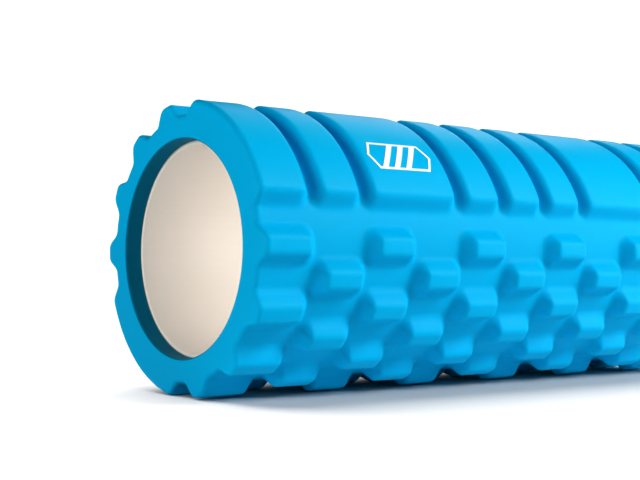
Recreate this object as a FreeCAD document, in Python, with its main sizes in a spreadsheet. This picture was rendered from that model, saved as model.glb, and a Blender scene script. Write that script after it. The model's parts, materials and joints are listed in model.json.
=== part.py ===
"""Grid foam roller: a moulded foam sleeve glued over a hollow plastic core.

Row frame, millimetres: origin at the middle of the roller's axis, +X along the axis, +Z up.
An angle round the roller is counted from straight up towards -Y.

The sleeve's pattern repeats along the roller in cells of one length. Round the roller it has
two strips of wide pads, opposite each other, and two fields of small knobs between them. The
knob rows in odd cells hold four knobs and those in even cells three, set like bricks.
"""
import FreeCAD, Part
import math
import os
import Sketcher

ALONG_X = FreeCAD.Vector(1, 0, 0)

# Driving dimensions: alias, value, what it is. Lengths in millimetres, angles in degrees.
DIMENSIONS = [
    ("roller_length", 330, "overall length of the foam sleeve"),
    ("cell_count", 11, "cells of the pattern along the roller"),
    ("ridge_radius", 70, "outside radius over pads and knobs"),
    ("valley_radius", 63.1, "radius at the bottom of the pattern"),
    ("foam_bore_radius", 51.5, "inside radius of the foam sleeve"),
    ("glue_thickness", 0.3, "coat of contact glue between foam and core"),
    ("core_wall", 1.5, "wall of the plastic core"),
    ("core_recess", 8.5, "depth of the core's end inside the foam's end"),
    ("core_edge_break", 0.3, "chamfer on the core's ends"),
    ("end_edge_break", 1, "chamfer round the foam's ends at its bore"),
    ("pad_turn", 37.7, "angle from straight up to the middle of the first pad strip"),
    ("pad_ridge_angle", 60.5, "angle that a pad's outer face spans"),
    ("pad_foot_angle", 69.5, "angle that a pad's foot spans"),
    ("groove_floor", 1, "width of a groove's floor between pads"),
    ("groove_mouth", 10, "width of a groove's mouth between pads"),
    ("knob_pitch_angle", 26.25, "angle between neighbouring knobs of a row"),
    ("knob_ridge_width", 8.2, "width round the roller of a knob's outer face"),
    ("knob_foot_width", 17.3, "width round the roller of a knob's foot"),
    ("knob_ridge_length", 20, "length along the roller of a knob's outer face"),
    ("knob_foot_length", 29, "length along the roller of a knob's foot"),
    ("knob_root", 2, "depth that a knob or pad is rooted below the valley"),
    ("trim_allowance", 1, "height that is trimmed off to make the outer faces round"),
    ("mark_turn", 49.7, "angle from straight up to the middle of the printed mark"),
    ("mark_length", 40, "length of the printed mark along the roller"),
    ("mark_width", 17, "width of the printed mark round the roller"),
    ("mark_line", 1.3, "width of the printed mark's frame line"),
    ("mark_bar_width", 3.4, "width along the roller of each of the mark's bars"),
    ("mark_bar_pitch", 7.2, "distance between the mark's bars"),
    ("mark_bar_lean", 10.5, "how far each bar leans along the roller from foot to head"),
    ("mark_place", 88.6, "distance of the mark's middle from the roller's -X end"),
    ("mark_thickness", 0.12, "thickness of the transfer film"),
]

# Cell boundaries that have no groove, where two cells share one double pad.
DOUBLE_PAD_BOUNDARIES = (3, 8)
MARK_BARS = 3

doc = FreeCAD.newDocument("foam_roller")
sheet = doc.addObject("Spreadsheet::Sheet", "sizes")
for row, (alias, value, meaning) in enumerate(DIMENSIONS, start=1):
    sheet.set(f"A{row}", meaning)
    sheet.set(f"B{row}", str(value))
    sheet.setAlias(f"B{row}", alias)
doc.recompute()


def size(alias):
    """An expression that reads one dimension from the sheet."""
    return f"sizes.{alias}"


CELL = f"({size('roller_length')} / {size('cell_count')})"
HALF_LENGTH = f"({size('roller_length')} / 2)"
ROOT_HEIGHT = f"({size('valley_radius')} - {size('knob_root')})"
TRIM_HEIGHT = f"({size('ridge_radius')} + {size('trim_allowance')})"


def along_slope(foot, ridge, height):
    """A width at a height, on a straight wall that is foot wide at the valley and ridge wide at the top."""
    rise = f"(({height} - {size('valley_radius')}) / ({size('ridge_radius')} - {size('valley_radius')}))"
    return f"({foot} + ({ridge} - {foot}) * {rise})"


def origin_item(body, role):
    """A plane or an axis of a body's own origin."""
    return next(item for item in body.Origin.OriginFeatures if item.Role == role)


def new_body(name):
    body = doc.addObject("PartDesign::Body", name)
    body.Label = name
    return body


def new_sketch(body, name, plane_role):
    sketch = body.newObject("Sketcher::SketchObject", name)
    sketch.AttachmentSupport = (origin_item(body, plane_role), [""])
    sketch.MapMode = "FlatFace"
    return sketch


def pin_point(sketch, line, start, across, up):
    """Hold the start of a line at a place given by two expressions, wherever it was drawn."""
    for kind, drawn, expression in (("DistanceX", start.x, across), ("DistanceY", start.y, up)):
        index = sketch.addConstraint(Sketcher.Constraint(kind, -1, 1, line, 1, drawn))
        sketch.setExpression(f"Constraints[{index}]", expression)


def add_outline(sketch, corners):
    """A closed outline of straight lines. Each corner is two expressions, across and up.

    It is drawn as a small regular outline, and its constraints carry it to its corners."""
    count = len(corners)
    first = sketch.GeometryCount
    turns = [2 * math.pi * index / count for index in range(count)]
    places = [FreeCAD.Vector(30 + 10 * math.cos(turn), 30 + 10 * math.sin(turn), 0) for turn in turns]
    for index, place in enumerate(places):
        sketch.addGeometry(Part.LineSegment(place, places[(index + 1) % count]), False)
    for index in range(count):
        following = first + (index + 1) % count
        sketch.addConstraint(Sketcher.Constraint("Coincident", first + index, 2, following, 1))
    for index, (across, up) in enumerate(corners):
        pin_point(sketch, first + index, places[index], across, up)


def box_outline(left, right, low, high):
    return [(left, low), (right, low), (right, high), (left, high)]


def turned(body, kind, name, sketch):
    """A Revolution or a Groove of a sketch, all the way round the roller's axis."""
    feature = body.newObject(f"PartDesign::{kind}", name)
    feature.Profile = (sketch, [""])
    feature.ReferenceAxis = (origin_item(body, "X_Axis"), [""])
    feature.Angle = 360
    return feature


def tube_body(name, bore, outside, half_length):
    """A plain tube about the roller's axis."""
    body = new_body(name)
    section = new_sketch(body, f"{name}_section", "XZ_Plane")
    add_outline(section, box_outline(f"-{half_length}", half_length, bore, outside))
    turned(body, "Revolution", f"{name}_turned", section)
    return body


def round_pattern(body, name, occurrences, step):
    """Copies round the roller's axis, one step of angle apart."""
    pattern = body.newObject("PartDesign::PolarPattern", name)
    pattern.Axis = (origin_item(body, "X_Axis"), [""])
    pattern.setExpression("Angle", f"({occurrences} - 1) * {step}")
    pattern.Occurrences = occurrences
    return pattern


def row_pattern(body, name, occurrences, step):
    """Copies along the roller's axis, one step of length apart."""
    pattern = body.newObject("PartDesign::LinearPattern", name)
    pattern.Direction = (origin_item(body, "X_Axis"), [""])
    pattern.setExpression("Length", f"({occurrences} - 1) * {step}")
    pattern.Occurrences = occurrences
    return pattern


def repeat(body, name, feature, patterns):
    """One feature repeated by several patterns, each applied to what the one before it made."""
    multiple = body.newObject("PartDesign::MultiTransform", name)
    multiple.Originals = [feature]
    multiple.Transformations = patterns
    body.Tip = multiple
    doc.recompute()
    return multiple


def opposite(body, name):
    """The other side of the roller, half a turn round."""
    return round_pattern(body, name, 2, "180")


# ---------------------------------------------------------------------------- foam sleeve
def add_pad_strips(body):
    """Two ridges along the whole roller, opposite each other: the pads before they are parted."""
    end_face = new_sketch(body, "strip_section", "YZ_Plane")
    half_foot = f"({size('valley_radius')} * sin({size('pad_foot_angle')} / 2 * 1 deg))"
    foot_height = f"({size('valley_radius')} * cos({size('pad_foot_angle')} / 2 * 1 deg))"
    half_ridge = f"({size('ridge_radius')} * sin({size('pad_ridge_angle')} / 2 * 1 deg))"
    ridge_height = f"({size('ridge_radius')} * cos({size('pad_ridge_angle')} / 2 * 1 deg))"
    lean = f"(({half_foot} - {half_ridge}) / ({ridge_height} - {foot_height}))"
    low = f"(({size('foam_bore_radius')} + {foot_height}) / 2)"
    half_low = f"({half_foot} + {lean} * ({foot_height} - {low}))"
    half_high = f"({half_foot} - {lean} * ({TRIM_HEIGHT} - {foot_height}))"
    add_outline(end_face, [(f"-{half_low}", low), (half_low, low),
                           (half_high, TRIM_HEIGHT), (f"-{half_high}", TRIM_HEIGHT)])
    strip = body.newObject("PartDesign::Pad", "pad_strip")
    strip.Profile = (end_face, [""])
    strip.Midplane = True
    strip.setExpression("Length", size("roller_length"))
    both = opposite(body, "pad_strips")
    both.Originals = [strip]
    body.Tip = both


def trim_round(body, name):
    """Cut everything that stands outside the ridge radius, so that outer faces are round."""
    section = new_sketch(body, f"{name}_section", "XZ_Plane")
    beyond = f"({HALF_LENGTH} + {size('trim_allowance')})"
    outside = f"(2 * {size('ridge_radius')})"
    add_outline(section, box_outline(f"-{beyond}", beyond, size("ridge_radius"), outside))
    turned(body, "Groove", name, section)


def cut_pad_grooves(body):
    """V grooves with a narrow floor that part the strips into single and double pads."""
    section = new_sketch(body, "groove_section", "XZ_Plane")
    half_floor = f"({size('groove_floor')} / 2)"
    half_mouth = f"({along_slope(size('groove_floor'), size('groove_mouth'), TRIM_HEIGHT)} / 2)"
    cells = int(sheet.cell_count)
    for boundary in range(1, cells):
        if boundary in DOUBLE_PAD_BOUNDARIES:
            continue
        middle = f"({CELL} * {boundary} - {HALF_LENGTH})"
        add_outline(section, [(f"({middle} - {half_floor})", size("valley_radius")),
                              (f"({middle} + {half_floor})", size("valley_radius")),
                              (f"({middle} + {half_mouth})", TRIM_HEIGHT),
                              (f"({middle} - {half_mouth})", TRIM_HEIGHT)])
    turned(body, "Groove", "pad_grooves", section)


def add_knob(body, name, middle, place_in_row, outer_end=None):
    """One knob, a wedge with four sloping walls, or with one upright wall where the roller ends."""
    knob = body.newObject("PartDesign::AdditiveWedge", name)
    knob.AttachmentSupport = (origin_item(body, "XZ_Plane"), [""])
    knob.MapMode = "FlatFace"
    knob.AttachmentOffset = FreeCAD.Placement(FreeCAD.Vector(), FreeCAD.Rotation(ALONG_X, 1))
    knob.setExpression("AttachmentOffset.Rotation.Angle", f"90 + {place_in_row} * {size('knob_pitch_angle')}")
    knob.setExpression("Ymin", ROOT_HEIGHT)
    knob.setExpression("Ymax", TRIM_HEIGHT)
    for prefix, height in (("", ROOT_HEIGHT), ("2", TRIM_HEIGHT)):
        half_long = f"({along_slope(size('knob_foot_length'), size('knob_ridge_length'), height)} / 2)"
        half_wide = f"({along_slope(size('knob_foot_width'), size('knob_ridge_width'), height)} / 2)"
        knob.setExpression(f"X{prefix}min", outer_end or f"{middle} - {half_long}")
        knob.setExpression(f"X{prefix}max", f"{middle} + {half_long}")
        knob.setExpression(f"Z{prefix}min", f"-{half_wide}")
        knob.setExpression(f"Z{prefix}max", half_wide)
    return knob


def add_knob_rows(body, name, first_cell, rows, knobs_in_row):
    """Every second cell from first_cell gets a row of knobs on both sides of the roller."""
    middle = f"({CELL} * ({first_cell} - 0.5) - {HALF_LENGTH})"
    knob = add_knob(body, f"{name}_knob", middle, (1 - knobs_in_row) / 2)
    repeat(body, f"{name}_rows", knob, [
        row_pattern(body, f"{name}_along", rows, f"(2 * {CELL})"),
        round_pattern(body, f"{name}_round", knobs_in_row, size("knob_pitch_angle")),
        opposite(body, f"{name}_opposite"),
    ])


def add_end_rows(body, knobs_in_row):
    """The first and the last cell's knobs, which end flush with the roller's end faces."""
    middle = f"({CELL} * 0.5 - {HALF_LENGTH})"
    knob = add_knob(body, "end_knob", middle, (1 - knobs_in_row) / 2, outer_end=f"-{HALF_LENGTH}")
    other_end = body.newObject("PartDesign::Mirrored", "other_end")
    other_end.MirrorPlane = (origin_item(body, "YZ_Plane"), [""])
    repeat(body, "end_rows", knob, [
        round_pattern(body, "end_round", knobs_in_row, size("knob_pitch_angle")),
        opposite(body, "end_opposite"),
        other_end,
    ])


def make_foam_sleeve():
    body = tube_body("foam_sleeve", size("foam_bore_radius"), size("valley_radius"), HALF_LENGTH)
    add_pad_strips(body)
    trim_round(body, "strip_trim")
    cut_pad_grooves(body)
    cells = int(sheet.cell_count)
    add_knob_rows(body, "odd", first_cell=3, rows=(cells - 3) // 2, knobs_in_row=4)
    add_knob_rows(body, "even", first_cell=2, rows=(cells - 1) // 2, knobs_in_row=3)
    add_end_rows(body, knobs_in_row=4)
    trim_round(body, "knob_trim")
    break_bore_edges(body)
    body.Placement = FreeCAD.Placement(FreeCAD.Vector(), FreeCAD.Rotation(ALONG_X, 1))
    body.setExpression("Placement.Rotation.Angle", size("pad_turn"))
    return body


def break_bore_edges(body):
    """A small chamfer cut round the foam's bore at both ends."""
    section = new_sketch(body, "bore_edge_section", "XZ_Plane")
    bore = size("foam_bore_radius")
    broken = size("end_edge_break")
    for side in ("-", ""):
        add_outline(section, [(f"{side}({HALF_LENGTH} - {broken})", bore),
                              (f"{side}{HALF_LENGTH}", f"({bore} + {broken})"),
                              (f"{side}({HALF_LENGTH} + {broken})", f"({bore} + {broken})"),
                              (f"{side}({HALF_LENGTH} + {broken})", f"({bore} - {broken})"),
                              (f"{side}({HALF_LENGTH} - {broken})", f"({bore} - {broken})")])
    turned(body, "Groove", "bore_edges", section)


# ---------------------------------------------------------------------------- core and glue
CORE_OUTSIDE = f"({size('foam_bore_radius')} - {size('glue_thickness')})"
CORE_HALF_LENGTH = f"({HALF_LENGTH} - {size('core_recess')})"


def make_bond_layer():
    return tube_body("bond_layer", CORE_OUTSIDE, size("foam_bore_radius"), CORE_HALF_LENGTH)


def make_core_tube():
    """A plain extruded tube, sawn to length, with its four end edges chamfered."""
    body = tube_body("core_tube", f"({CORE_OUTSIDE} - {size('core_wall')})", CORE_OUTSIDE, CORE_HALF_LENGTH)
    doc.recompute()
    tube = body.Tip
    half_length = tube.Shape.BoundBox.XMax
    end_edges = [f"Edge{index}" for index, edge in enumerate(tube.Shape.Edges, start=1)
                 if abs(abs(edge.CenterOfMass.x) - half_length) < 0.01 and edge.Closed]
    chamfer = body.newObject("PartDesign::Chamfer", "core_edges")
    chamfer.Base = (tube, end_edges)
    chamfer.setExpression("Size", size("core_edge_break"))
    return body


# ---------------------------------------------------------------------------- printed mark
def hexagon(half_long, half_wide):
    """A long hexagon that points along the roller both ways; its points are half as long as it is wide."""
    shoulder = f"({half_long} - {half_wide} / 2)"
    return [(f"-{half_long}", "0"), (f"-{shoulder}", f"-{half_wide}"), (shoulder, f"-{half_wide}"),
            (half_long, "0"), (shoulder, half_wide), (f"-{shoulder}", half_wide)]


def raise_outlines(body, name, outlines):
    """Prisms from the roller's axis out past the ridge radius, on outlines that face upwards."""
    section = new_sketch(body, f"{name}_outline", "XY_Plane")
    for outline in outlines:
        add_outline(section, outline)
    prism = body.newObject("PartDesign::Pad", name)
    prism.Profile = (section, [""])
    prism.setExpression("Length", TRIM_HEIGHT)


def make_printed_mark():
    """A plain badge: a long hexagon crossed by slanting bars, a thin film that follows the pad."""
    body = new_body("printed_mark")
    half_long = f"({size('mark_length')} / 2)"
    half_wide = f"({size('mark_width')} / 2)"
    line = size("mark_line")
    inner_wide = f"({half_wide} - {line})"
    raise_outlines(body, "mark_frame", [hexagon(half_long, half_wide),
                                        hexagon(f"({half_long} - 1.2 * {line})", inner_wide)])
    bars = []
    for place in range(MARK_BARS):
        middle = f"({place - (MARK_BARS - 1) / 2} * {size('mark_bar_pitch')})"
        foot = f"({middle} - {size('mark_bar_lean')} / 2)"
        head = f"({middle} + {size('mark_bar_lean')} / 2)"
        half_bar = f"({size('mark_bar_width')} / 2)"
        reach = f"({half_wide} - {line} / 2)"
        bars.append([(f"({foot} - {half_bar})", f"-{reach}"), (f"({foot} + {half_bar})", f"-{reach}"),
                     (f"({head} + {half_bar})", reach), (f"({head} - {half_bar})", reach)])
    raise_outlines(body, "mark_bars", bars)
    film_outside = f"({size('ridge_radius')} + {size('mark_thickness')})"
    for name, low, high in (("film_outside", film_outside, f"(2 * {size('ridge_radius')})"),
                            ("film_inside", "0", size("ridge_radius"))):
        section = new_sketch(body, f"{name}_section", "XZ_Plane")
        add_outline(section, box_outline(f"-{size('mark_length')}", size("mark_length"), low, high))
        turned(body, "Groove", name, section)
    body.Placement = FreeCAD.Placement(FreeCAD.Vector(), FreeCAD.Rotation(ALONG_X, 1))
    body.setExpression("Placement.Rotation.Angle", size("mark_turn"))
    body.setExpression("Placement.Base.x", f"{size('mark_place')} - {HALF_LENGTH}")
    return body


# ---------------------------------------------------------------------------- writing the parts
def main():
    parts = [make_foam_sleeve(), make_bond_layer(), make_core_tube(), make_printed_mark()]
    doc.recompute()
    for item in doc.Objects:
        if {"Invalid", "Error"} & set(item.State):
            raise RuntimeError(f"{item.Name} failed: {item.State}")
    os.makedirs("parts", exist_ok=True)
    for part in parts:
        shape = part.Shape
        if shape.isNull() or not shape.isValid():
            raise RuntimeError(f"{part.Label} has no valid shape")
        shape.exportStep(f"parts/{part.Label}.step")
        box = shape.BoundBox
        print(f"{part.Label}: {len(shape.Solids)} solid, volume {shape.Volume / 1000:.1f} cm3")
        print(f"  {box.XLength:.2f} x {box.YLength:.2f} x {box.ZLength:.2f} mm")


main()
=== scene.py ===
import json
import math

import bmesh
import bpy
import numpy as np
from mathutils import Euler, Matrix, Vector

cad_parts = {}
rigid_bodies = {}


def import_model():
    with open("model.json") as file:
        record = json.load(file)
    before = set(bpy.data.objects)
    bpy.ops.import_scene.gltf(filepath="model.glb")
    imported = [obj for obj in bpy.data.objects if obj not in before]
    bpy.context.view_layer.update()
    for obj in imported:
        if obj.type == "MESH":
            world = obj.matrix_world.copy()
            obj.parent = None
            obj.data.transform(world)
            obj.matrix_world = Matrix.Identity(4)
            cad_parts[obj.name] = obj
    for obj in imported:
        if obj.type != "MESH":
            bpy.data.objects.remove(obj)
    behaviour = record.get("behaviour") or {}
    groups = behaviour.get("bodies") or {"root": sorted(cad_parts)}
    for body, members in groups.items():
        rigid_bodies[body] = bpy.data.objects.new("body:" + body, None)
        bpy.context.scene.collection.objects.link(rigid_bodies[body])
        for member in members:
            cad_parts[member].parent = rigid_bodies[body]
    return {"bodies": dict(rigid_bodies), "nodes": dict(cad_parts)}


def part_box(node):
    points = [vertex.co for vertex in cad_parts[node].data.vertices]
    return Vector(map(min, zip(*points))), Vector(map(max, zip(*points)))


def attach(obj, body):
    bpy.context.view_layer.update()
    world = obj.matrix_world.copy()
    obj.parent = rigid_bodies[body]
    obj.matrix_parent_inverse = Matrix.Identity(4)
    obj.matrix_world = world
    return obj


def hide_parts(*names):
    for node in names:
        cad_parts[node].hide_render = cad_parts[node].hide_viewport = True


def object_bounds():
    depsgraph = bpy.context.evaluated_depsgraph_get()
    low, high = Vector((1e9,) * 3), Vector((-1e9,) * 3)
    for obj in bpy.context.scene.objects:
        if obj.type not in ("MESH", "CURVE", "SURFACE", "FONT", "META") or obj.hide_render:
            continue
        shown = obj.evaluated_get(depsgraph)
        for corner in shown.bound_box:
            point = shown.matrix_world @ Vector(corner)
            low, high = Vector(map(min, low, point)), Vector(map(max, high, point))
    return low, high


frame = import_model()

bl_info = {
    "name": "Grid foam roller",
    "version": (1, 0, 0),
    "blender": (4, 5, 0),
    "location": "View3D > Sidebar > Foam roller",
    "description": "Models a hollow foam roller with pads and knobs round a plastic core",
    "category": "Object",
}

MM = 0.001
ROOT = "root" if "root" in frame["bodies"] else next(iter(frame["bodies"]))
CAD_LOW, CAD_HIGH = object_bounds()
SLEEVE_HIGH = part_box("foam_sleeve")[1]
GLUE_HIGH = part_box("bond_layer")[1]
CORE_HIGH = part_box("core_tube")[1]
MARK_LOW, MARK_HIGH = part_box("printed_mark")

HALF_LENGTH = SLEEVE_HIGH.x
RIDGE_RADIUS = SLEEVE_HIGH.y
BORE_RADIUS = GLUE_HIGH.z
CORE_RADIUS = CORE_HIGH.z
CORE_HALF_LENGTH = CORE_HIGH.x

SOFTBOX_SIZE = 0.6
SOFTBOX_DISTANCE = 1.5
LAMP_PLACE = (-0.08, -0.025, -0.005)
CARD_DROP = 1 * MM


# ------------------------------------------------------------------------------ sizes and colours
class SleeveSizes(bpy.types.PropertyGroup):
    """Sizes and colour of the foam sleeve"""
    cells: bpy.props.IntProperty(
        name="Cells", description="Pattern cells along the roller", default=11, min=1)
    double_after: bpy.props.IntProperty(
        name="Double pad after", description="Cell after which the double pad starts, from each end",
        default=2, min=0)
    depth: bpy.props.FloatProperty(
        name="Depth", description="Depth of the pattern", default=6.9 * MM, unit="LENGTH")
    wall_run: bpy.props.FloatProperty(
        name="Wall run", description="How far a wall leans out along the roller from its ridge to its foot",
        default=5.0 * MM, unit="LENGTH")
    side_run: bpy.props.FloatProperty(
        name="Side run", description="How far a wall leans out round the roller from its ridge to its foot",
        default=5.2 * MM, unit="LENGTH")
    ridge_softness: bpy.props.FloatProperty(
        name="Ridge softness", description="Half the width over which a ridge is rounded",
        default=1.6 * MM, unit="LENGTH")
    foot_softness: bpy.props.FloatProperty(
        name="Foot softness", description="Half the width over which a wall's foot is rounded",
        default=2.0 * MM, unit="LENGTH")
    pad_turn: bpy.props.FloatProperty(
        name="Pad turn", description="Angle from straight up to the middle of the first pad strip",
        default=math.radians(37.7), subtype="ANGLE")
    pad_span: bpy.props.FloatProperty(
        name="Pad span", description="Angle that a pad's outer face spans",
        default=math.radians(60.5), subtype="ANGLE")
    pad_corner: bpy.props.FloatProperty(
        name="Pad corner", description="Corner radius of a pad's outer face",
        default=2.6 * MM, unit="LENGTH")
    knob_pitch: bpy.props.FloatProperty(
        name="Knob pitch", description="Angle between neighbouring knobs of a row",
        default=math.radians(26.25), subtype="ANGLE")
    knob_width: bpy.props.FloatProperty(
        name="Knob width", description="Width round the roller of a knob's outer face",
        default=7.8 * MM, unit="LENGTH")
    knob_corner: bpy.props.FloatProperty(
        name="Knob corner", description="Corner radius of a knob's outer face",
        default=1.6 * MM, unit="LENGTH")
    saddle: bpy.props.FloatProperty(
        name="Saddle", description="Reach over which neighbouring feet run into each other",
        default=1.6 * MM, unit="LENGTH")
    end_round: bpy.props.FloatProperty(
        name="End round", description="Radius of the rounding round the end faces",
        default=2.6 * MM, unit="LENGTH")
    bore_round: bpy.props.FloatProperty(
        name="Bore round", description="Radius of the rounding at the foam's bore",
        default=0.8 * MM, unit="LENGTH")
    unevenness: bpy.props.FloatProperty(
        name="Unevenness", description="How far the moulded skin wanders from its true shape",
        default=0.05 * MM, unit="LENGTH")
    colour: bpy.props.FloatVectorProperty(
        name="Foam colour", description="Colour of the foam's skin", subtype="COLOR",
        default=(0.0, 0.43, 0.75))


class CoreSizes(bpy.types.PropertyGroup):
    """Sizes and colour of the core tube"""
    wall: bpy.props.FloatProperty(
        name="Wall", description="Wall of the tube", default=1.5 * MM, unit="LENGTH")
    edge: bpy.props.FloatProperty(
        name="Edge", description="Width of the bevel on the tube's end edges", default=0.25 * MM,
        unit="LENGTH")
    facets: bpy.props.IntProperty(
        name="Facets", description="Facets round the tube", default=192, min=24)
    colour: bpy.props.FloatVectorProperty(
        name="Core colour", description="Colour of the plastic", subtype="COLOR",
        default=(0.93, 0.87, 0.80))


class MarkSizes(bpy.types.PropertyGroup):
    """Sizes and colour of the printed badge"""
    turn: bpy.props.FloatProperty(
        name="Turn", description="Angle from straight up to the middle of the badge",
        default=math.radians(49.7), subtype="ANGLE")
    width: bpy.props.FloatProperty(
        name="Width", description="Width of the badge round the roller", default=17 * MM, unit="LENGTH")
    line: bpy.props.FloatProperty(
        name="Line", description="Width of the badge's frame", default=1.3 * MM, unit="LENGTH")
    bars: bpy.props.IntProperty(name="Bars", description="Slanting bars in the badge", default=3, min=1)
    bar_width: bpy.props.FloatProperty(
        name="Bar width", description="Width of a bar", default=3.4 * MM, unit="LENGTH")
    bar_pitch: bpy.props.FloatProperty(
        name="Bar pitch", description="Distance between bars", default=7.2 * MM, unit="LENGTH")
    bar_lean: bpy.props.FloatProperty(
        name="Bar lean", description="How far a bar leans from foot to head", default=10.5 * MM,
        unit="LENGTH")
    film: bpy.props.FloatProperty(
        name="Film", description="Thickness of the print", default=0.1 * MM, unit="LENGTH")
    colour: bpy.props.FloatVectorProperty(
        name="Print colour", description="Colour of the ink", subtype="COLOR",
        default=(0.93, 0.95, 0.96))


class StageSizes(bpy.types.PropertyGroup):
    """Camera and light"""
    camera_place: bpy.props.FloatVectorProperty(
        name="Camera", description="Place of the camera", subtype="TRANSLATION",
        default=(-0.4766, -0.5105, -0.0055))
    camera_bearing: bpy.props.FloatProperty(
        name="Bearing", description="Turn of the view from +Y towards +X",
        default=math.radians(37.68), subtype="ANGLE")
    camera_pitch: bpy.props.FloatProperty(
        name="Pitch", description="Upward tilt of the view", default=math.radians(0.99), subtype="ANGLE")
    camera_roll: bpy.props.FloatProperty(
        name="Roll", description="Turn of the camera about its view", default=math.radians(0.635),
        subtype="ANGLE")
    lens: bpy.props.FloatProperty(
        name="Lens", description="Focal length in millimetres", default=71.53)
    key: bpy.props.FloatProperty(
        name="Key", description="Power of the softbox to the right of the camera", default=19.5)
    low: bpy.props.FloatProperty(
        name="Low", description="Power of the low softbox to the right of the camera", default=5.0)
    left: bpy.props.FloatProperty(
        name="Left", description="Power of the softbox off the near end", default=10.0)
    rim: bpy.props.FloatProperty(
        name="Rim", description="Power of the softbox behind the roller", default=3.3)
    inside: bpy.props.FloatProperty(
        name="Inside", description="Power of the lamp inside the tube", default=0.021)
    backdrop: bpy.props.FloatProperty(
        name="Backdrop", description="Strength of the light that falls on the floor alone", default=6.8)


# ------------------------------------------------------------------------------ shader maths
class Link:
    """One output socket. Arithmetic on it adds Math nodes, so shader maths reads as an expression."""

    def __init__(self, paint, socket):
        self.paint = paint
        self.socket = socket

    def _math(self, operation, first, second):
        return self.paint.node("Math", {"operation": operation}, {0: first, 1: second})

    def __add__(self, other):
        return self._math("ADD", self, other)

    def __radd__(self, other):
        return self._math("ADD", other, self)

    def __sub__(self, other):
        return self._math("SUBTRACT", self, other)

    def __rsub__(self, other):
        return self._math("SUBTRACT", other, self)

    def __mul__(self, other):
        return self._math("MULTIPLY", self, other)

    def __rmul__(self, other):
        return self._math("MULTIPLY", other, self)


class Paint:
    """A material in the making: one Principled shader, and the nodes that feed it."""

    def __init__(self, name, **constants):
        self.material = bpy.data.materials.new(name)
        self.material.use_nodes = True
        self.tree = self.material.node_tree
        self.shader = self.tree.nodes["Principled BSDF"]
        for socket, value in constants.items():
            self.shader.inputs[socket.replace("_", " ")].default_value = value

    def node(self, kind, settings, sockets, output=0):
        """Add a node, set it up, give its sockets values or links, and return one output."""
        made = self.tree.nodes.new("ShaderNode" + kind)
        for name, value in settings.items():
            setattr(made, name, value)
        for name, value in sockets.items():
            self.join(made.inputs[name], value)
        return Link(self, made.outputs[output])

    def join(self, socket, value):
        if isinstance(value, Link):
            self.tree.links.new(value.socket, socket)
        else:
            socket.default_value = value

    def feed(self, **inputs):
        for socket, value in inputs.items():
            self.join(self.shader.inputs[socket.replace("_", " ")], value)
        return self.material

    def places(self, stretch=(1, 1, 1)):
        """Object coordinates, stretched."""
        coordinates = self.node("TexCoord", {}, {}, output="Object")
        return self.node("Mapping", {}, {"Vector": coordinates, "Scale": stretch})

    def noise(self, vector, size, detail=2.0, roughness=0.5):
        """Soft random patches of about one size, from 0 to 1."""
        return self.node("TexNoise", {}, {"Vector": vector, "Scale": 1 / size, "Detail": detail,
                                          "Roughness": roughness})

    def blend(self, share, first, second):
        """A mix of two colours."""
        return self.node("Mix", {"data_type": "RGBA"}, {0: share, 6: first, 7: second}, output=2)

    def attribute(self, name):
        return self.node("Attribute", {"attribute_name": name}, {}, output="Fac")

    def bump(self, height, distance, strength=1.0, under=None):
        sockets = {"Height": height, "Distance": distance, "Strength": strength}
        if under is not None:
            sockets["Normal"] = under
        return self.node("Bump", {}, sockets)


def shade(colour, factor):
    """A colour made darker or lighter, with alpha."""
    return tuple(channel * factor for channel in colour) + (1.0,)


def foam_skin(colour):
    """Moulded EVA: satin with a faint grain and random tone, with painted shade: a little darker in the
    valleys and paler where it is proud, and darker in the bore.
    """
    paint = Paint("foam_skin", IOR=1.46, Specular_IOR_Level=0.04)
    places = paint.places()
    clouds = paint.noise(places, 45 * MM, detail=3.0)
    grain = paint.noise(places, 0.9 * MM, detail=4.0, roughness=0.62)
    pores = paint.noise(places, 0.28 * MM, detail=1.0)
    rise = paint.attribute("rise")
    # Random tone from clouds and grain, plus painted shade by height: darker in the valleys, paler on proud
    # faces
    tone = paint.blend(0.35 * clouds + 0.35 * rise + 0.3 * grain, shade(colour, 0.93), shade(colour, 1.06))
    leather = paint.bump(grain, 0.06 * MM, strength=0.5)
    skin = paint.bump(pores, 0.02 * MM, strength=0.4, under=leather)
    # Painted shade in the bore: the recess wall inside the end is darkened to 0.42 of the foam colour
    tone = paint.blend(paint.attribute("bore"), tone, shade(colour, 0.42))
    roughness = 0.4 + 0.14 * clouds + 0.08 * grain - 0.05 * rise
    return paint.feed(Base_Color=tone, Roughness=roughness, Normal=skin)


def core_plastic(colour):
    """Extruded plastic: satin, warm white, with faint draw lines along the tube."""
    paint = Paint("core_plastic", IOR=1.5)
    draw_lines = paint.noise(paint.places((6, 900, 900)), 1.0, detail=3.0)
    haze = paint.noise(paint.places(), 30 * MM, detail=2.0)
    tone = paint.blend(0.5 * draw_lines + 0.5 * haze, shade(colour, 0.96), shade(colour, 1.03))
    lines = paint.bump(draw_lines, 0.01 * MM, strength=0.5)
    return paint.feed(Base_Color=tone, Roughness=0.34 + 0.12 * haze, Normal=lines)


def glue_coat():
    """Contact glue: amber, rough, uneven."""
    paint = Paint("glue_coat", IOR=1.5)
    lumps = paint.noise(paint.places(), 1.5 * MM, detail=3.0)
    tone = paint.blend(lumps, (0.34, 0.27, 0.13, 1), (0.55, 0.46, 0.27, 1))
    return paint.feed(Base_Color=tone, Roughness=0.45 + 0.25 * lumps, Normal=paint.bump(lumps, 0.1 * MM))


def print_ink(colour):
    """White ink: matte, a little thin in places."""
    paint = Paint("print_ink", IOR=1.5)
    cover = paint.noise(paint.places(), 0.8 * MM, detail=3.0)
    tone = paint.blend(cover, shade(colour, 0.95), shade(colour, 1.0))
    return paint.feed(Base_Color=tone, Roughness=0.5 + 0.15 * cover, Normal=paint.bump(cover, 0.01 * MM))


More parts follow.
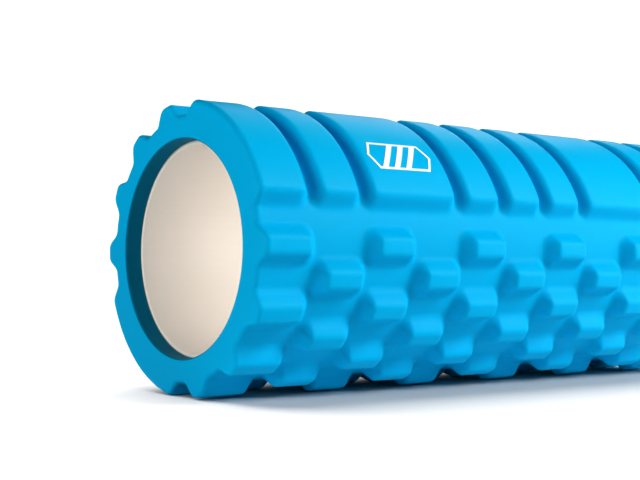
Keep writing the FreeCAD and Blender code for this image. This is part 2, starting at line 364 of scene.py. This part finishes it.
def studio_white(name, colour):
    """Studio paint, even and dull."""
    paint = Paint(name, IOR=1.3, Specular_IOR_Level=0.1)
    haze = paint.noise(paint.places(), 0.4, detail=2.0)
    tone = paint.blend(haze, shade(colour, 0.98), shade(colour, 1.0))
    return paint.feed(Base_Color=tone, Roughness=0.85 + 0.1 * haze)


# ------------------------------------------------------------------------------ modelling by hand
def clear_selection():
    if bpy.context.object and bpy.context.object.mode != "OBJECT":
        bpy.ops.object.mode_set(mode="OBJECT")
    bpy.ops.object.select_all(action="DESELECT")


def name_piece(name):
    piece = bpy.context.object
    piece.name = name
    piece.data.name = name
    return piece


def settle(piece):
    """Put the object's place, turn and scale into its mesh."""
    clear_selection()
    piece.select_set(True)
    bpy.context.view_layer.objects.active = piece
    bpy.ops.object.transform_apply(location=True, rotation=True, scale=True)


def finish_with(piece, kind, **settings):
    """Add a modifier, set it up and apply it."""
    bpy.context.view_layer.objects.active = piece
    modifier = piece.modifiers.new(kind.title(), kind)
    for name, value in settings.items():
        setattr(modifier, name, value)
    bpy.ops.object.modifier_apply(modifier=modifier.name)


def dress(piece, material, slot, *nodes):
    """Give a piece its material and its place in the frame."""
    piece.data.materials.clear()
    piece.data.materials.append(material)
    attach(piece, ROOT)
    if nodes:
        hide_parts(*nodes)


# ------------------------------------------------------------------------------ foam sleeve
def soft_step(distance, softness):
    """Zero below, distance above, and a parabola between over twice the softness."""
    rounded = (distance + softness) ** 2 / (4 * softness)
    return np.where(distance < -softness, 0.0, np.where(distance > softness, distance, rounded))


def outline_distance(along, around, half_long, half_wide, corner):
    """Distance outside a rounded rectangle, negative inside it."""
    past_long = np.abs(along) - (half_long - corner)
    past_wide = np.abs(around) - (half_wide - corner)
    outside = np.hypot(np.maximum(past_long, 0), np.maximum(past_wide, 0))
    return outside + np.minimum(np.maximum(past_long, past_wide), 0) - corner


def squeezed_radius(sizes):
    """Length round the roller for each radian, squeezed so that all walls have the same run."""
    return (RIDGE_RADIUS - sizes.depth / 2) * sizes.wall_run / sizes.side_run


def outer_faces(sizes):
    """Every pad's and knob's outer face: middle along, angle, half length, half width, corner."""
    cell = 2 * HALF_LENGTH / sizes.cells
    half_pad = sizes.pad_span / 2 * squeezed_radius(sizes)
    half_knob = sizes.knob_width / 2 * sizes.wall_run / sizes.side_run
    faces = []

    def add(first, last, angle, half_wide, corner):
        start = first * cell + sizes.wall_run
        stop = (last + 1) * cell - sizes.wall_run
        if first == 0:
            start -= cell
        if last == sizes.cells - 1:
            stop += cell
        faces.append(((start + stop) / 2 - HALF_LENGTH, angle, (stop - start) / 2, half_wide, corner))

    for side in (0, math.pi):
        index = 0
        while index < sizes.cells:
            double = index in (sizes.double_after, sizes.cells - sizes.double_after - 2)
            last = index + 1 if double else index
            add(index, last, side, half_pad, sizes.pad_corner)
            index = last + 1
        for index in range(sizes.cells):
            knobs = 4 if index % 2 == 0 else 3
            for knob in range(knobs):
                angle = side + math.pi / 2 + (knob - (knobs - 1) / 2) * sizes.knob_pitch
                add(index, index, angle, half_knob, sizes.knob_corner)
    return faces


def pattern_rise(sizes, along, angles):
    """Height of the pattern over the valley, for places along and angles from the first pad strip."""
    radius = squeezed_radius(sizes)
    nearest = np.full(np.broadcast(along, angles).shape, np.inf)
    second = nearest.copy()
    for middle, angle, half_long, half_wide, corner in outer_faces(sizes):
        turn = (angles - angle + math.pi) % (2 * math.pi) - math.pi
        distance = outline_distance(along - middle, turn * radius, half_long, half_wide, corner)
        second = np.minimum(second, np.maximum(nearest, distance))
        nearest = np.minimum(nearest, distance)
    closeness = np.maximum(sizes.saddle - (second - nearest), 0)
    nearest = nearest - closeness ** 2 / (4 * sizes.saddle)
    steepness = sizes.depth / sizes.wall_run
    fall = soft_step(nearest, sizes.ridge_softness) - soft_step(nearest - sizes.wall_run, sizes.foot_softness)
    return sizes.depth - steepness * fall


def mirrored(steps, period):
    """Steps in the first half of a period, and their mirror images in the second."""
    return sorted({round(step, 6) for step in steps} | {round(period - step, 6) for step in steps})


def lines_along(sizes):
    """Places of the mesh's rings, close together at walls and ridges."""
    cell = 2 * HALF_LENGTH / sizes.cells
    run = sizes.wall_run
    steps = [run * share for share in (0, 0.14, 0.3, 0.5, 0.7, 0.84, 0.93, 1.0, 1.07, 1.16, 1.35, 1.8)]
    steps += [run + (cell / 2 - run) * share for share in (0.65, 1.0)]
    places = sorted({round(index * cell + step, 6) for index in range(sizes.cells)
                     for step in mirrored(steps, cell)})
    inside = [place - HALF_LENGTH for place in places]
    return [place for place in inside if abs(place) < HALF_LENGTH - 1.3 * sizes.end_round]


def lines_around(sizes):
    """Angles of the mesh's lines from the first pad strip, close together at walls and ridges."""
    middle_radius = RIDGE_RADIUS - sizes.depth / 2
    run = sizes.side_run
    half_pad = sizes.pad_span / 2 * middle_radius
    pitch = sizes.knob_pitch / 2 * middle_radius
    half_knob = sizes.knob_width / 2
    quarter = math.pi / 2 * middle_radius
    steps = list(np.linspace(0, half_pad - 1.6 * run, 7))
    steps += [half_pad + run * share for share in
              (-1.1, -0.6, -0.35, -0.16, -0.07, 0, 0.08, 0.17, 0.3, 0.5, 0.7, 0.85, 1.0, 1.15, 1.35, 1.7)]
    first_knob = quarter - 3 * pitch
    steps += list(np.linspace(half_pad + 2.1 * run, first_knob - pitch / 2, 4))
    knob_steps = [half_knob * share for share in (0, 0.35, 0.6, 0.8, 1.0, 1.2, 1.45, 1.75, 2.1, 2.4)]
    knob_steps = mirrored(knob_steps + [pitch / 2], pitch)
    for place in range(-1, 3):
        steps += [first_knob + place * pitch + step for step in knob_steps]
    steps = [step for step in steps if step <= quarter]
    low_gap = 0.25 * MM
    kept = []
    for step in sorted(steps):
        if not kept or step - kept[-1] > low_gap:
            kept.append(step)
    quarter_angles = [step / middle_radius for step in kept]
    half = mirrored(quarter_angles, math.pi)[:-1]
    return np.array(half + [angle + math.pi for angle in half])


def sleeve_profile(sizes, angles):
    """Rings of the closed skin, from the -X end over the outside, down the +X end and back through the bore.

    Returns places along and radii, each an array of angles by rings."""
    quarter_steps = np.linspace(0, math.pi / 2, 7)
    rounding = sizes.end_round * (1 - np.cos(quarter_steps))
    drops = sizes.end_round * (1 - np.sin(quarter_steps))
    middle = lines_along(sizes)
    outer_places = np.concatenate([-HALF_LENGTH + rounding, middle, (HALF_LENGTH - rounding)[::-1]])
    outer_drops = np.concatenate([drops, np.zeros(len(middle)), drops[::-1]])
    rise = pattern_rise(sizes, outer_places[None, :], angles[:, None])
    outer_radii = RIDGE_RADIUS - sizes.depth + rise - outer_drops[None, :]

    lip = BORE_RADIUS + sizes.bore_round
    shares = np.array([0.03, 0.12, 0.3, 0.5, 0.7, 0.88, 0.97])
    end_radii = outer_radii[:, :1] + (lip - outer_radii[:, :1]) * shares[None, :]
    end_places = np.full(end_radii.shape, HALF_LENGTH)

    lip_steps = np.linspace(0, math.pi / 2, 5)
    lip_places = HALF_LENGTH - sizes.bore_round * (1 - np.cos(lip_steps))
    lip_radii = lip - sizes.bore_round * np.sin(lip_steps)
    recess = HALF_LENGTH - CORE_HALF_LENGTH
    bore_places = [HALF_LENGTH - recess * share for share in (0.2, 0.4, 0.7, 1.0, 1.5)]
    bore_places += list(np.linspace(HALF_LENGTH * 0.8, 0, 4))
    bore_places = np.array(bore_places + [-place for place in bore_places[-2::-1]])

    def all_round(row):
        return np.broadcast_to(np.asarray(row)[None, :], (len(angles), len(row)))

    places = np.concatenate([
        all_round(outer_places), end_places, all_round(lip_places), all_round(bore_places),
        all_round(-lip_places[::-1]), -end_places], axis=1)
    radii = np.concatenate([
        outer_radii, end_radii, all_round(lip_radii), all_round(np.full(len(bore_places), BORE_RADIUS)),
        all_round(lip_radii[::-1]), end_radii[:, ::-1]], axis=1)
    return places, radii


def wander(places, angles, amount):
    """A slow unevenness of the moulding, the same each time."""
    return amount * (np.sin(61 * places + 2 * angles) * np.sin(3 * angles - 37 * places)
                     + 0.5 * np.sin(143 * places - 5 * angles))


def roll_up(sizes):
    """Roll a flat grid into the closed skin of the sleeve, and say how proud each point stands."""
    angles = lines_around(sizes)
    places, radii = sleeve_profile(sizes, angles)
    rings = places.shape[1]
    outside = radii > RIDGE_RADIUS - 1.6 * sizes.depth
    radii = radii + np.where(outside & (np.abs(places) < HALF_LENGTH - sizes.end_round),
                             wander(places, angles[:, None], sizes.unevenness) - 1.5 * sizes.unevenness, 0)
    bpy.ops.mesh.primitive_grid_add(x_subdivisions=rings, y_subdivisions=len(angles), size=1)
    piece = name_piece("foam_skin")
    mesh = piece.data
    flat = np.empty(len(mesh.vertices) * 3)
    mesh.vertices.foreach_get("co", flat)
    flat = flat.reshape(-1, 3)
    ring = np.rint((flat[:, 0] + 0.5) * rings).astype(int) % rings
    line = np.rint((flat[:, 1] + 0.5) * len(angles)).astype(int) % len(angles)
    place = places[line, ring]
    radius = radii[line, ring]
    angle = angles[line] + sizes.pad_turn
    rolled = np.stack([place, -radius * np.sin(angle), radius * np.cos(angle)], axis=1)
    mesh.vertices.foreach_set("co", rolled.ravel())
    # How proud each point stands; the foam shader uses it for roughness and for painted shade in the valleys
    rise = np.clip((radius - RIDGE_RADIUS + sizes.depth) / sizes.depth, 0, 1)
    mesh.attributes.new("rise", "FLOAT", "POINT").data.foreach_set("value", rise)
    # Mask of the bore wall, where the foam shader paints shade into the recess
    bore = (radius < CORE_RADIUS + 1 * MM).astype(np.float32)
    mesh.attributes.new("bore", "FLOAT", "POINT").data.foreach_set("value", bore)
    mesh.update()
    return piece


class ROLLER_OT_foam_sleeve(bpy.types.Operator):
    """Model the foam sleeve with its pads and knobs"""
    bl_idname = "roller.foam_sleeve"
    bl_label = "Foam sleeve"

    def execute(self, context):
        clear_selection()
        sizes = context.scene.roller_sleeve
        piece = roll_up(sizes)
        bpy.ops.object.mode_set(mode="EDIT")
        bpy.ops.mesh.select_all(action="SELECT")
        bpy.ops.mesh.remove_doubles(threshold=0.001 * MM)
        bpy.ops.mesh.normals_make_consistent(inside=False)
        bpy.ops.object.mode_set(mode="OBJECT")
        bpy.ops.object.shade_smooth()
        dress(piece, foam_skin(sizes.colour), "foam", "foam_sleeve")
        return {"FINISHED"}


# ------------------------------------------------------------------------------ core tube
class ROLLER_OT_core_tube(bpy.types.Operator):
    """Model the rigid tube inside the foam"""
    bl_idname = "roller.core_tube"
    bl_label = "Core tube"

    def execute(self, context):
        clear_selection()
        sizes = context.scene.roller_core
        bpy.ops.mesh.primitive_cylinder_add(
            vertices=sizes.facets, radius=CORE_RADIUS, depth=2 * CORE_HALF_LENGTH,
            end_fill_type="NOTHING", rotation=(0, math.pi / 2, 0))
        piece = name_piece("core_shell")
        settle(piece)
        finish_with(piece, "SOLIDIFY", thickness=sizes.wall, offset=-1, use_even_offset=True)
        finish_with(piece, "BEVEL", width=sizes.edge, segments=3, limit_method="ANGLE",
                    angle_limit=math.radians(40))
        bpy.ops.object.shade_smooth_by_angle(angle=math.radians(35))
        dress(piece, core_plastic(sizes.colour), "core_plastic", "core_tube")
        return {"FINISHED"}


class ROLLER_OT_glue_coat(bpy.types.Operator):
    """Give the coat of glue between foam and core its finish"""
    bl_idname = "roller.glue_coat"
    bl_label = "Glue coat"

    def execute(self, context):
        node = frame["nodes"]["bond_layer"]
        node.data.materials.clear()
        node.data.materials.append(glue_coat())
        return {"FINISHED"}


# ------------------------------------------------------------------------------ printed badge
def add_sheet(corners):
    """A flat shape with the given corners, added to the mesh that is being edited."""
    mesh = bmesh.from_edit_mesh(bpy.context.object.data)
    made = [mesh.verts.new(corner) for corner in corners]
    mesh.faces.new(made)
    bmesh.update_edit_mesh(bpy.context.object.data)


class ROLLER_OT_printed_mark(bpy.types.Operator):
    """Lay the printed badge on the double pad"""
    bl_idname = "roller.printed_mark"
    bl_label = "Printed badge"

    def execute(self, context):
        clear_selection()
        sizes = context.scene.roller_mark
        half_long = (MARK_HIGH.x - MARK_LOW.x) / 2
        half_wide = sizes.width / 2
        bpy.ops.mesh.primitive_circle_add(vertices=6, radius=1, fill_type="NGON")
        piece = name_piece("printed_badge")
        shoulder = half_long - half_wide / 2
        corners = [(-half_long, 0), (-shoulder, -half_wide), (shoulder, -half_wide),
                   (half_long, 0), (shoulder, half_wide), (-shoulder, half_wide)]
        for vertex, (along, around) in zip(piece.data.vertices, corners):
            vertex.co = (along, around, 0)
        bpy.ops.object.mode_set(mode="EDIT")
        bpy.ops.mesh.select_all(action="SELECT")
        bpy.ops.mesh.inset(thickness=sizes.line, depth=0)
        bpy.ops.mesh.delete(type="FACE")
        reach = half_wide - sizes.line / 2
        for bar in range(sizes.bars):
            middle = (bar - (sizes.bars - 1) / 2) * sizes.bar_pitch
            foot, head = middle - sizes.bar_lean / 2, middle + sizes.bar_lean / 2
            half_bar = sizes.bar_width / 2
            add_sheet([(foot - half_bar, -reach, 0), (foot + half_bar, -reach, 0),
                       (head + half_bar, reach, 0), (head - half_bar, reach, 0)])
        self.slice_across(half_wide)
        bpy.ops.object.mode_set(mode="OBJECT")
        self.wrap(piece, sizes)
        bpy.ops.object.shade_smooth_by_angle(angle=math.radians(40))
        dress(piece, print_ink(sizes.colour), "print", "printed_mark")
        return {"FINISHED"}

    @staticmethod
    def slice_across(half_wide):
        """Cut the flat badge into strips, so that it can follow the pad's curve."""
        strips = 24
        for strip in range(1, strips):
            around = -half_wide + 2 * half_wide * strip / strips
            bpy.ops.mesh.select_all(action="SELECT")
            bpy.ops.mesh.bisect(plane_co=(0, around, 0), plane_no=(0, 1, 0))

    @staticmethod
    def wrap(piece, sizes):
        """Lay the flat badge on the pad's round face and give it the film's thickness."""
        for vertex in piece.data.vertices:
            angle = sizes.turn - vertex.co.y / RIDGE_RADIUS
            vertex.co = ((MARK_LOW.x + MARK_HIGH.x) / 2 + vertex.co.x,
                         -RIDGE_RADIUS * math.sin(angle), RIDGE_RADIUS * math.cos(angle))
        finish_with(piece, "SOLIDIFY", thickness=sizes.film, offset=1)


# ------------------------------------------------------------------------------ stage
def add_plane(name, height, material):
    """A level plane that reaches far past the view."""
    bpy.ops.mesh.primitive_plane_add(size=60, location=(0, 0, height))
    plane = name_piece(name)
    settle(plane)
    plane.data.materials.append(material)
    return plane


def add_softbox(name, bearing, height, power):
    """A square soft light that faces the roller, at a bearing from -Y towards -X and a height, in degrees."""
    turn, rise = math.radians(bearing), math.radians(height)
    outwards = Vector((-math.sin(turn) * math.cos(rise), -math.cos(turn) * math.cos(rise), math.sin(rise)))
    bpy.ops.object.light_add(type="AREA", location=SOFTBOX_DISTANCE * outwards)
    light = bpy.context.object
    light.name = name
    light.data.size = SOFTBOX_SIZE
    light.data.energy = power
    light.rotation_euler = outwards.to_track_quat("Z", "Y").to_euler()


def add_broad_light(name, strength, spread, lean):
    """A broad light from above, even over the whole floor, that leans to come from behind."""
    bpy.ops.object.light_add(type="SUN", location=(0, 0, 1))
    light = bpy.context.object
    light.name = name
    light.data.energy = strength
    light.data.angle = math.radians(spread)
    light.rotation_euler = Euler((math.radians(-lean), 0, 0))
    return light


def shine_only_on(light, piece):
    """Keep a light off everything but one piece."""
    lit = bpy.data.collections.new(f"lit_by_{light.name}")
    lit.objects.link(piece)
    light.light_linking.receiver_collection = lit


def add_inside_lamp(power):
    """A soft lamp in the tube, turned to its far wall, for the light that a pale tube passes along."""
    bpy.ops.object.light_add(type="AREA", location=LAMP_PLACE, rotation=(math.pi / 2, 0, 0))
    light = bpy.context.object
    light.name = "inside_lamp"
    light.data.energy = power
    light.data.size = CORE_RADIUS
    light.visible_camera = False
    return light


def whiten_surround():
    """Plain white behind everything for the camera, and no light from it."""
    world = bpy.data.worlds.new("studio")
    bpy.context.scene.world = world
    world.use_nodes = True
    tree = world.node_tree
    tree.nodes.clear()
    output = tree.nodes.new("ShaderNodeOutputWorld")
    mix = tree.nodes.new("ShaderNodeMixShader")
    rays = tree.nodes.new("ShaderNodeLightPath")
    dark = tree.nodes.new("ShaderNodeBackground")
    white = tree.nodes.new("ShaderNodeBackground")
    dark.inputs["Strength"].default_value = 0.0
    white.inputs["Color"].default_value = (1, 1, 1, 1)
    tree.links.new(rays.outputs["Is Camera Ray"], mix.inputs["Fac"])
    tree.links.new(dark.outputs[0], mix.inputs[1])
    tree.links.new(white.outputs[0], mix.inputs[2])
    tree.links.new(mix.outputs[0], output.inputs["Surface"])


class ROLLER_OT_stage(bpy.types.Operator):
    """Set up the floor, the lights and the camera"""
    bl_idname = "roller.stage"
    bl_label = "Stage"

    def execute(self, context):
        clear_selection()
        sizes = context.scene.roller_stage
        floor = add_plane("studio_floor", CAD_LOW.z, studio_white("floor_paint", (0.5, 0.5, 0.5)))
        floor.visible_diffuse = False
        floor.visible_shadow = False
        card = add_plane("bounce_card", CAD_LOW.z - CARD_DROP, studio_white("card_paint", (0.9, 0.9, 0.9)))
        card.visible_camera = False
        whiten_surround()
        backdrop = add_broad_light("backdrop_light", sizes.backdrop, spread=80, lean=30)
        shine_only_on(backdrop, floor)
        add_softbox("key_softbox", bearing=-38, height=33, power=sizes.key)
        add_softbox("low_softbox", bearing=-55, height=10, power=sizes.low)
        add_softbox("left_softbox", bearing=85, height=12, power=sizes.left)
        add_softbox("rim_softbox", bearing=-130, height=35, power=sizes.rim)
        shine_only_on(add_inside_lamp(sizes.inside), bpy.data.objects["core_shell"])
        bpy.ops.object.camera_add(location=sizes.camera_place)
        camera = bpy.context.object
        level = Euler((math.pi / 2 + sizes.camera_pitch, 0, -sizes.camera_bearing)).to_matrix()
        turned = level @ Matrix.Rotation(sizes.camera_roll, 3, "Z")
        camera.rotation_euler = turned.to_euler()
        camera.data.lens = sizes.lens
        camera.data.sensor_width = 36
        context.scene.camera = camera
        context.scene.view_settings.view_transform = "Standard"
        context.scene.view_settings.look = "Medium High Contrast"
        return {"FINISHED"}


# ------------------------------------------------------------------------------ panel and add-on
OPERATORS = (ROLLER_OT_foam_sleeve, ROLLER_OT_core_tube, ROLLER_OT_glue_coat, ROLLER_OT_printed_mark,
             ROLLER_OT_stage)
SETTINGS = {"roller_sleeve": SleeveSizes, "roller_core": CoreSizes, "roller_mark": MarkSizes,
            "roller_stage": StageSizes}


class ROLLER_PT_panel(bpy.types.Panel):
    """Buttons that model the roller piece by piece"""
    bl_idname = "ROLLER_PT_panel"
    bl_label = "Foam roller"
    bl_space_type = "VIEW_3D"
    bl_region_type = "UI"
    bl_category = "Foam roller"

    def draw(self, context):
        for operator in OPERATORS:
            self.layout.operator(operator.bl_idname)
        for setting in SETTINGS:
            group = getattr(context.scene, setting)
            box = self.layout.box()
            for name in group.__annotations__:
                box.prop(group, name)


def register():
    for group in SETTINGS.values():
        bpy.utils.register_class(group)
    for name, group in SETTINGS.items():
        setattr(bpy.types.Scene, name, bpy.props.PointerProperty(type=group))
    for operator in OPERATORS:
        bpy.utils.register_class(operator)
    bpy.utils.register_class(ROLLER_PT_panel)


def unregister():
    bpy.utils.unregister_class(ROLLER_PT_panel)
    for operator in reversed(OPERATORS):
        bpy.utils.unregister_class(operator)
    for name in SETTINGS:
        delattr(bpy.types.Scene, name)
    for group in reversed(tuple(SETTINGS.values())):
        bpy.utils.unregister_class(group)


def main():
    register()
    bpy.ops.roller.foam_sleeve()
    bpy.ops.roller.core_tube()
    bpy.ops.roller.glue_coat()
    bpy.ops.roller.printed_mark()
    bpy.ops.roller.stage()


if __name__ == "__main__":
    main()
